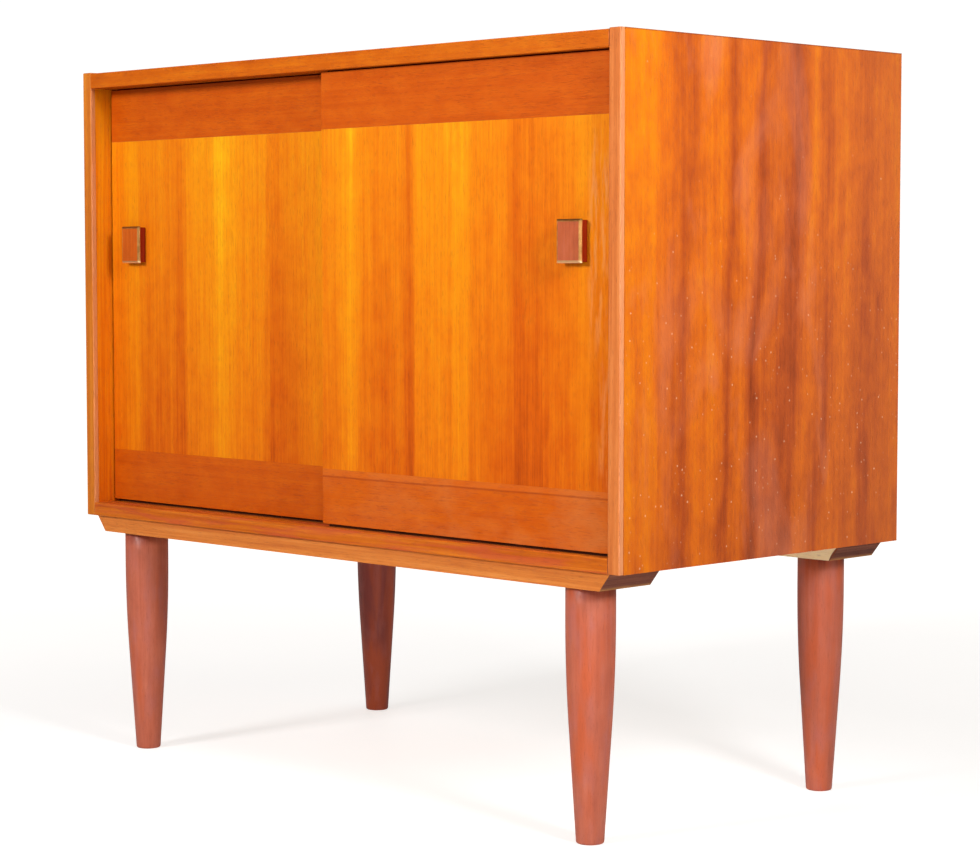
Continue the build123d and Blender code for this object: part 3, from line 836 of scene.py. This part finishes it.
leg_teak = stained_leg("leg_teak", LEG_SHADES)
shaded_leg_teak = stained_leg("shaded_leg_teak", SHADED_LEG_SHADES)
PLATE_GRAIN = {"ribbons": 0.5, "lines": 0.15, "fibres": 0.2, "figure": 0.6}
knob_plate_teak = teak(
    "knob_plate_teak", "Z", KNOB_PLATE_SHADES, weights=PLATE_GRAIN, ribbon=200.0, sheen=0.3)
DARK_SHADES = dark_to_light((80, 14, 1), (126, 28, 2), (156, 44, 6))
ORANGE_PLATE_SHADES = dark_to_light((140, 50, 8), (186, 82, 16), (206, 104, 34))
orange_plate_teak = teak(
    "orange_plate_teak", "Z", ORANGE_PLATE_SHADES, weights=PLATE_GRAIN, ribbon=200.0)
dark_block_wood = teak("dark_block_wood", "Z", DARK_SHADES, ribbon=260.0, rough=0.5)
BEECH_SHADES = dark_to_light((196, 150, 104), (220, 180, 132), (236, 204, 160))
beech = teak("waxed_beech", "X", BEECH_SHADES, ribbon=160.0, line=700.0, rough=0.45)
# Dark runner wood: painted shade for the gap below a door.
GAP_SHADE_SHADES = dark_to_light((44, 20, 10), (70, 34, 18), (96, 52, 28))
gap_shade_beech = teak("gap_shade_beech", "X", GAP_SHADE_SHADES, ribbon=160.0, line=700.0, rough=0.5)
PLY_SHADES = dark_to_light((214, 148, 96), (238, 184, 132), (250, 212, 168))
ply_face = teak("ply_face", "Z", PLY_SHADES, ribbon=24.0, line=160.0, wander=0.02, rough=0.6)


def ply_layers():
    """Three plies, seen on the edge of the back panel."""
    finish = Finish("ply_layers")
    low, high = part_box("back_panel")
    layers = wood_layers(finish, "X", ribbon=160.0)
    across = finish.across("Y", low.y, high.y)
    ply = finish.ramp(across, [(0.0, 0.62), (0.28, 0.22), (0.72, 0.62)], steps=True)
    light = finish.scaled(layers["fibres"], 0.4, finish.minus(ply, 0.2))
    return oiled(finish, finish.ramp(light, PLY_SHADES), layers, rough=0.7)


SCRATCH_DEEP = 0.05 * MM
TOP_REFLECTION_TONE = tone(108, 84, 46)
FLOOR_REFLECTION_TONE = tone(255, 234, 182)


def brushed(finish, colour, patches, least_rough):
    """A metal surface with fine upright scratches, duller where the patches are."""
    scratches = finish.noise(finish.mapped(scale=(1.0, 1.0, 0.04)), 2500.0, detail=2.0)
    uneven = finish.scaled(patches, 0.25, least_rough)
    return finish.done(colour, uneven, finish.bump(scratches, SCRATCH_DEEP, 0.4), Metallic=1.0)


def metal(name, bright, dull, least_rough):
    finish = Finish(name)
    patches = finish.noise(finish.place, 90.0, detail=4.0, rough=0.6)
    colour = finish.ramp(patches, [(0.35, dull), (0.6, bright)])
    return brushed(finish, colour, patches, least_rough)


def knob_brass():
    """Pale brass with painted reflections: dim along the top bevel and bright along the bottom one."""
    finish = Finish("knob_brass")
    low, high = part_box("right_door_knob_rim")
    patches = finish.noise(finish.place, 160.0, detail=4.0, rough=0.6)
    colour = finish.ramp(patches, [(0.35, tone(160, 112, 58)), (0.65, tone(200, 146, 84))])
    top_reflection = finish.across("Z", high.z - 2.4 * MM, high.z - 0.4 * MM, 0.0, 0.85)
    colour = finish.blend(top_reflection, colour, TOP_REFLECTION_TONE)
    floor_reflection = finish.across("Z", low.z + 0.8 * MM, low.z + 2.6 * MM, 0.95, 0.0)
    colour = finish.blend(floor_reflection, colour, FLOOR_REFLECTION_TONE)
    return brushed(finish, colour, patches, 0.34)


ply_edge = ply_layers()
pale_brass = knob_brass()
yellow_brass = metal("yellow_brass", tone(232, 190, 110), tone(176, 132, 62), 0.26)
steel = metal("zinc_steel", tone(206, 206, 204), tone(150, 148, 144), 0.24)
print("legs, knobs and metals made")

# %% [markdown]
# ## From a sharp board to a real one
# A sawn board's edges are eased with a plane, and it is that tiny bevel that catches the light. The
# exact boards already have their rebates, grooves and pin holes, so a merged copy of each is taken,
# its flat faces are put back in one piece, and all its sharp edges are bevelled. Cutting those
# holes again by hand would add nothing.

# %% Board helpers
EASED = 0.30 * MM
EASED_THIN = 0.15 * MM
EASED_JOINT = 0.2 * MM
EASED_SOFT = 0.5 * MM
EASED_HANDLED = 0.8 * MM
SHARP = math.radians(30)
SAME_PLANE = math.radians(0.5)
SAME_POINT = 0.002 * MM
SAME_VERTEX = 0.0002 * MM
SIDES = {
    "right": Vector((1, 0, 0)),
    "left": Vector((-1, 0, 0)),
    "back": Vector((0, 1, 0)),
    "front": Vector((0, -1, 0)),
    "top": Vector((0, 0, 1)),
    "under": Vector((0, 0, -1)),
}


def facing(normal):
    """The name of the side that a face looks towards."""
    return max(SIDES, key=lambda side: normal.dot(SIDES[side]))


def merged_copy(node):
    made = bmesh.new()
    made.from_mesh(frame["nodes"][node].data)
    bmesh.ops.remove_doubles(made, verts=made.verts, dist=SAME_POINT)
    bmesh.ops.dissolve_limit(made, angle_limit=SAME_PLANE, verts=made.verts, edges=made.edges)
    return made


def ease(made, width=EASED, segments=2):
    sharp = [e for e in made.edges if e.is_manifold and e.calc_face_angle(0.0) > SHARP]
    bmesh.ops.bevel(
        made, geom=sharp, offset=width, offset_type="OFFSET", affect="EDGES", segments=segments,
        profile=0.5, material=-1, clamp_overlap=True)
    return made


def piece(name, made, node, finishes, smooth=False):
    """Makes a bmesh the piece that stands for a CAD node. finishes maps sides to materials."""
    bmesh.ops.remove_doubles(made, verts=made.verts, dist=SAME_VERTEX)
    bmesh.ops.recalc_face_normals(made, faces=made.faces)
    open_edges = sum(1 for edge in made.edges if not edge.is_manifold)
    mesh = bpy.data.meshes.new(name)
    made.to_mesh(mesh)
    made.free()
    kinds = list(finishes)
    for kind in kinds:
        mesh.materials.append(finishes[kind])
    for face in mesh.polygons:
        kind = facing(face.normal)
        face.material_index = kinds.index(kind if kind in finishes else "rest")
        face.use_smooth = smooth
    thing = bpy.data.objects.new(name, mesh)
    bpy.context.scene.collection.objects.link(thing)
    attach(thing, BODY_OF[node])
    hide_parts(node)
    print(f"{name}: {len(mesh.polygons)} faces, {open_edges} open edges")


def board(name, node, finishes, width=EASED, segments=2):
    """A CAD board with eased edges."""
    piece(name, ease(merged_copy(node), width, segments), node, finishes)


print("board edges eased by", EASED, "m")

# %% [markdown]
# ## Sides, top and bottom
# The carcass is a box: two sides, a top and a floor between them, and a thin back. Veneer covers a
# board's two faces, its front edge is a strip of solid wood, and the other edges stay bare. So each
# face takes its finish from the side that it looks towards, and "rest" serves every other face.

# %% Carcass boards
for side, sheet, edge in (
        ("right", right_side_sheet, right_side_edge), ("left", left_side_sheet, left_side_edge)):
    board(f"{side}_side_board", f"{side}_side_panel", {
        "rest": inside_side_teak, side: sheet, "top": top_end_band, "back": edge, "under": edge})
for side, strip_teak in (("left", left_strip_teak), ("right", right_strip_teak)):
    board(f"{side}_side_strip", f"{side}_side_lipping", {
        "rest": strip_teak, "top": strip_end, "under": strip_end}, EASED_HANDLED, 3)
board("top_board", "top_panel", {"rest": top_edge, "top": top_teak, "under": inside_teak})
board("floor_board", "bottom_panel", {"rest": floor_edge, "top": inside_teak, "under": inside_teak})
for place, face, upper_face in (
        ("top", top_strip_teak, top_teak), ("bottom", bottom_strip_teak, bottom_strip_teak)):
    board(f"{place}_front_strip", f"{place}_track_rail", {
        "rest": face, "top": upper_face, "left": strip_end, "right": strip_end})

# %% [markdown]
# ## Back, shelf and foot rails
# The back is thin plywood, so its edges are eased less. The shelf is a small board with its own
# front strip. The foot rails are handled and knocked, so they are eased more. Their oiled faces look
# outwards, and their raw ones look at each other.

# %% Back, shelf and rails
board("plywood_back", "back_panel", {
    "rest": ply_edge, "front": ply_face, "back": ply_face}, EASED_THIN, 1)
board("loose_shelf", "shelf", {"rest": shelf_edge, "top": inside_teak, "under": inside_teak})
board("shelf_front_strip", "shelf_lipping", {
    "rest": front_strip_teak, "left": strip_end, "right": strip_end})
for place, outer, inner in (("front", "front", "back"), ("rear", "back", "front")):
    board(f"{place}_rail_board", f"{place}_foot_rail", {
        "rest": rail_raw_face, outer: rail_front, inner: rail_raw_face,
        "left": rail_end_face, "right": rail_end_face}, EASED_SOFT)

# %% [markdown]
# ## Turned legs
# A leg is a profile turned on a lathe, and Spin is the lathe. The profile is a straight taper from
# the foot, an arc that leaves the taper without a corner, and a parallel top. The arc's centre
# follows from its two ends and the direction it starts in.

# %% Legs
LEG_STEPS = 64
FOOT_RADIUS = 13.3 * MM
FOOT_ROUND = 2.0 * MM
SHOULDER = Vector((20.4 * MM, 112.0 * MM))
SWELL_END_DROP = 29.0 * MM
ARC_STEPS = 12
ON_THE_AXIS = 0.01 * MM
TOP_CHAMFER = 0.5 * MM
BOLT_RADIUS = 4.0 * MM
BOLT_DEEP = 30.0 * MM


def tangent_arc(start, direction, end, steps):
    """Points from start to end on the circle that leaves start along direction."""
    across = Vector((direction.y, -direction.x)).normalized()
    chord = end - start
    radius = chord.length_squared / (2 * chord.dot(across))
    centre = start + across * radius
    first = math.atan2(start.y - centre.y, start.x - centre.x)
    last = math.atan2(end.y - centre.y, end.x - centre.x)
    turn = (last - first + math.pi) % (2 * math.pi) - math.pi
    points = []
    for step in range(1, steps + 1):
        angle = first + turn * step / steps
        points.append(centre + abs(radius) * Vector((math.cos(angle), math.sin(angle))))
    return points


def leg_profile(top_radius, top):
    """Points as (radius, height), from the middle of the foot to the bottom of the bolt hole."""
    direction = SHOULDER - Vector((FOOT_RADIUS, 0.0))
    outline = [Vector((0.0, 0.0)), Vector((FOOT_RADIUS - FOOT_ROUND, 0.0))]
    for step in (1, 2, 3):
        angle = math.radians(30 * step)
        outline.append(Vector((
            FOOT_RADIUS - FOOT_ROUND + FOOT_ROUND * math.sin(angle),
            FOOT_ROUND - FOOT_ROUND * math.cos(angle))))
    outline.append(SHOULDER)
    outline += tangent_arc(SHOULDER, direction, Vector((top_radius, top - SWELL_END_DROP)), ARC_STEPS)
    for radius, height in (
            (top_radius, top - TOP_CHAMFER), (top_radius - TOP_CHAMFER, top),
            (BOLT_RADIUS, top), (BOLT_RADIUS, top - BOLT_DEEP), (0.0, top - BOLT_DEEP)):
        outline.append(Vector((radius, height)))
    return outline


def turned(outline, centre, steps):
    """Spins an outline of (radius, height) points about an upright axis."""
    made = bmesh.new()
    verts = [made.verts.new((point.x, 0.0, point.y)) for point in outline]
    edges = [made.edges.new(pair) for pair in zip(verts, verts[1:])]
    bmesh.ops.spin(
        made, geom=verts + edges, cent=(0, 0, 0), axis=(0, 0, 1), dvec=(0, 0, 0),
        angle=math.tau, steps=steps, use_merge=True, use_duplicate=False)
    bmesh.ops.remove_doubles(made, verts=made.verts, dist=ON_THE_AXIS)
    bmesh.ops.translate(made, verts=made.verts, vec=centre)
    return made


for place in ("front_left", "front_right", "rear_left", "rear_right"):
    low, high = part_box(f"{place}_leg")
    middle = (low + high) / 2
    outline = leg_profile((high.x - low.x) / 2, high.z)
    made = turned(outline, (middle.x, middle.y, low.z), LEG_STEPS)
    # The rear-left leg takes the darker copy: painted shade.
    stain = shaded_leg_teak if place == "rear_left" else leg_teak
    piece(f"{place}_turned_leg", made, f"{place}_leg", {"rest": stain}, smooth=True)

# %% [markdown]
# ## Doors
# A door is three boards glued edge to edge: an upper band, the matched middle and a lower band. The
# eased edges leave a hairline where they meet. A guide on top and a runner below ride in the grooves.
# Their dark colour is painted shade, so that the gaps above and below a door read as dark lines.

# %% Door boards
for door, middle_face, lower_face in (
        ("left_door", left_middle, level_band), ("right_door", right_middle, mended)):
    board(f"{door}_middle", f"{door}_panel", {
        "rest": right_strip_teak, "front": middle_face, "back": inside_side_teak}, EASED_JOINT, 1)
    board(f"{door}_upper_band", f"{door}_top_band", {"rest": level_band}, EASED_JOINT, 1)
    board(f"{door}_lower_band", f"{door}_bottom_band", {
        "rest": level_band, "front": lower_face}, EASED_JOINT, 1)
    board(f"{door}_guide", f"{door}_top_guide", {"rest": dark_block_wood}, EASED_SOFT)
    board(f"{door}_runner", f"{door}_bottom_runner", {"rest": gap_shade_beech}, EASED_SOFT)

# %% [markdown]
# ## Knobs
# A knob is a brass tray with its four sides bevelled towards the front. A block scaled to size is
# chamfered at its front edges, and its front face is inset to leave the lip and pushed in for the
# teak plate.

# %% Knobs
KNOB_BEVEL = 1.8 * MM
KNOB_LIP = 0.6 * MM
EASED_PLATE = 0.12 * MM


def block(low, high):
    made = bmesh.new()
    bmesh.ops.create_cube(made, size=1.0)
    bmesh.ops.scale(made, verts=made.verts, vec=high - low)
    bmesh.ops.translate(made, verts=made.verts, vec=(low + high) / 2)
    return made


def pushed_in(made, faces, move):
    """Extrudes faces by a move, without leaving the old faces behind as a lid."""
    pushed = bmesh.ops.extrude_face_region(made, geom=faces)
    verts = [item for item in pushed["geom"] if isinstance(item, bmesh.types.BMVert)]
    bmesh.ops.translate(made, verts=verts, vec=move)
    bmesh.ops.delete(made, geom=faces, context="FACES_ONLY")


def front_face(made):
    """The face nearest the front, and the largest of them where several are level."""
    return min(made.faces, key=lambda face: (
        round(face.calc_center_median().y, 6), -face.calc_area()))


def brass_tray(node, plate_node):
    made = block(*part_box(node))
    front = front_face(made)
    bmesh.ops.bevel(
        made, geom=list(front.edges), offset=KNOB_BEVEL, offset_type="OFFSET", affect="EDGES",
        segments=1, profile=0.5, material=-1)
    bmesh.ops.inset_region(
        made, faces=[front_face(made)], thickness=KNOB_LIP, use_even_offset=True)
    plate_low, plate_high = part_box(plate_node)
    pushed_in(made, [front_face(made)], (0, plate_high.y - plate_low.y, 0))
    return ease(made, EASED_THIN)


for side, plate_teak in (("left", orange_plate_teak), ("right", knob_plate_teak)):
    rim, plate, neck = (f"{side}_door_knob_{part}" for part in ("rim", "inlay", "neck"))
    piece(f"{side}_knob_brass", brass_tray(rim, plate), rim, {"rest": pale_brass})
    plate_block = ease(block(*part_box(plate)), EASED_PLATE)
    piece(f"{side}_knob_plate", plate_block, plate, {"rest": plate_teak})
    neck_block = ease(block(*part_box(neck)), EASED_SOFT)
    piece(f"{side}_knob_block", neck_block, neck, {"rest": dark_block_wood})

# %% [markdown]
# ## Screws and pins
# A wood screw is a flat head with a slot, a short cone under it, and a shank. The head starts as a
# disc. Four cuts mark the slot on it, the slot's face is pushed in, and the rim of the disc is drawn
# down to the point.

# %% Screws
SLOT_HALF = 0.09
SLOT_REACH = 0.86
SLOT_DEEP = 0.35
SCREW_FACETS = 28
TAPER_FROM = 0.75
POINT_RADIUS = 0.1
SLOT_TURN = math.radians(37)


def slotted_screw(head_radius, shank_radius, length):
    """A screw with its head at the origin, looking up, and its point below."""
    made = bmesh.new()
    bmesh.ops.create_circle(made, cap_ends=True, radius=head_radius, segments=SCREW_FACETS)
    width = head_radius * SLOT_HALF * 2
    reach = head_radius * SLOT_REACH
    for place, normal in (
            ((width, 0, 0), (1, 0, 0)), ((-width, 0, 0), (1, 0, 0)),
            ((0, reach, 0), (0, 1, 0)), ((0, -reach, 0), (0, 1, 0))):
        geometry = list(made.verts) + list(made.edges) + list(made.faces)
        bmesh.ops.bisect_plane(made, geom=geometry, plane_co=place, plane_no=normal)
    slot = [
        face for face in made.faces
        if abs(face.calc_center_median().x) < width and abs(face.calc_center_median().y) < reach
    ]
    rim = [edge for edge in made.edges if edge.is_boundary]
    pushed_in(made, slot, (0, 0, -head_radius * SLOT_DEEP))
    for radius, drop in (
            (shank_radius, head_radius - shank_radius), (shank_radius, length * TAPER_FROM),
            (shank_radius * POINT_RADIUS, length)):
        drawn = bmesh.ops.extrude_edge_only(made, edges=rim)
        verts = [item for item in drawn["geom"] if isinstance(item, bmesh.types.BMVert)]
        rim = [item for item in drawn["geom"] if isinstance(item, bmesh.types.BMEdge)]
        here = max(vert.co.xy.length for vert in verts)
        bmesh.ops.scale(made, verts=verts, vec=(radius / here, radius / here, 1.0))
        for vert in verts:
            vert.co.z = -drop
        rim = [edge for edge in rim if all(abs(vert.co.z + drop) < SAME_POINT for vert in edge.verts)]
    bmesh.ops.holes_fill(made, edges=rim)
    return made


def islands(node):
    """The box of each separate solid in a node."""
    made = merged_copy(node)
    made.verts.ensure_lookup_table()
    unseen = set(made.verts)
    boxes = []
    while unseen:
        group, edge_of = set(), [unseen.pop()]
        while edge_of:
            vert = edge_of.pop()
            group.add(vert)
            near = {edge.other_vert(vert) for edge in vert.link_edges} & unseen
            unseen -= near
            edge_of += near
        low = Vector([min(vert.co[i] for vert in group) for i in range(3)])
        high = Vector([max(vert.co[i] for vert in group) for i in range(3)])
        boxes.append((low, high))
    made.free()
    return sorted(boxes, key=lambda pair: tuple(round(c, 4) for c in pair[0]))


def join(made, extra):
    """Moves one bmesh into another. The step through a mesh is the only way that bmesh offers."""
    carrier = bpy.data.meshes.new("carrier")
    extra.to_mesh(carrier)
    extra.free()
    made.from_mesh(carrier)
    bpy.data.meshes.remove(carrier)


def screw_set(name, node, outward, shank_radius):
    """Slotted screws in the places of a node's plain ones. outward is where the heads look."""
    made = bmesh.new()
    outward = Vector(outward)
    for number, (low, high) in enumerate(islands(node)):
        size = high - low
        length = abs(size.dot(outward))
        head_radius = (sum(size) - length) / 4
        middle = (low + high) / 2
        screw = slotted_screw(head_radius, shank_radius, length)
        turn = Matrix.Rotation(SLOT_TURN * number, 4, "Z")
        stand = outward.to_track_quat("Z", "Y").to_matrix().to_4x4()
        head = Matrix.Translation(middle + outward * length / 2)
        screw.transform(head @ stand @ turn)
        join(made, screw)
    piece(name, made, node, {"rest": steel})


THIN_SHANK = 1.5 * MM
STOUT_SHANK = 2.0 * MM
screw_set("back_screws", "back_panel_screws", (0, 1, 0), THIN_SHANK)
screw_set("rail_screws", "foot_rail_screws", (0, 0, -1), STOUT_SHANK)
for side in ("left", "right"):
    screw_set(f"{side}_knob_fixing", f"{side}_door_knob_screw", (0, 1, 0), STOUT_SHANK)

# %% [markdown]
# ## Shelf pins
# The shelf rests on four short brass pins. Each is turned like a leg, with a rounded nose.

# %% Pins
PIN_ROUND = 0.8 * MM
PIN_STEPS = 24


def pin_set():
    made = bmesh.new()
    for low, high in islands("shelf_pins"):
        radius = (high.z - low.z) / 2
        length = high.x - low.x
        nose = radius - PIN_ROUND
        outline = [Vector(point) for point in (
            (0, 0), (nose, 0), (radius, PIN_ROUND),
            (radius, length - PIN_ROUND), (nose, length), (0, length))]
        pin = turned(outline, (0, 0, -length / 2), PIN_STEPS)
        pin.transform(Matrix.Translation((low + high) / 2) @ Matrix.Rotation(math.pi / 2, 4, "Y"))
        join(made, pin)
    piece("brass_shelf_pins", made, "shelf_pins", {"rest": yellow_brass})


pin_set()

# %% [markdown]
# ## Pieces that keep their exact shape
# The dowels, hanger bolts and inserts are inside the joints and already the right shape. They only
# take a finish.

# %% Finishes for the inner pieces
for node, material in (("carcass_dowels", beech), ("leg_bolts", steel), ("leg_inserts", yellow_brass)):
    for holder in frame["nodes"][node].material_slots:
        holder.material = material
    print(node, "takes", material.name)
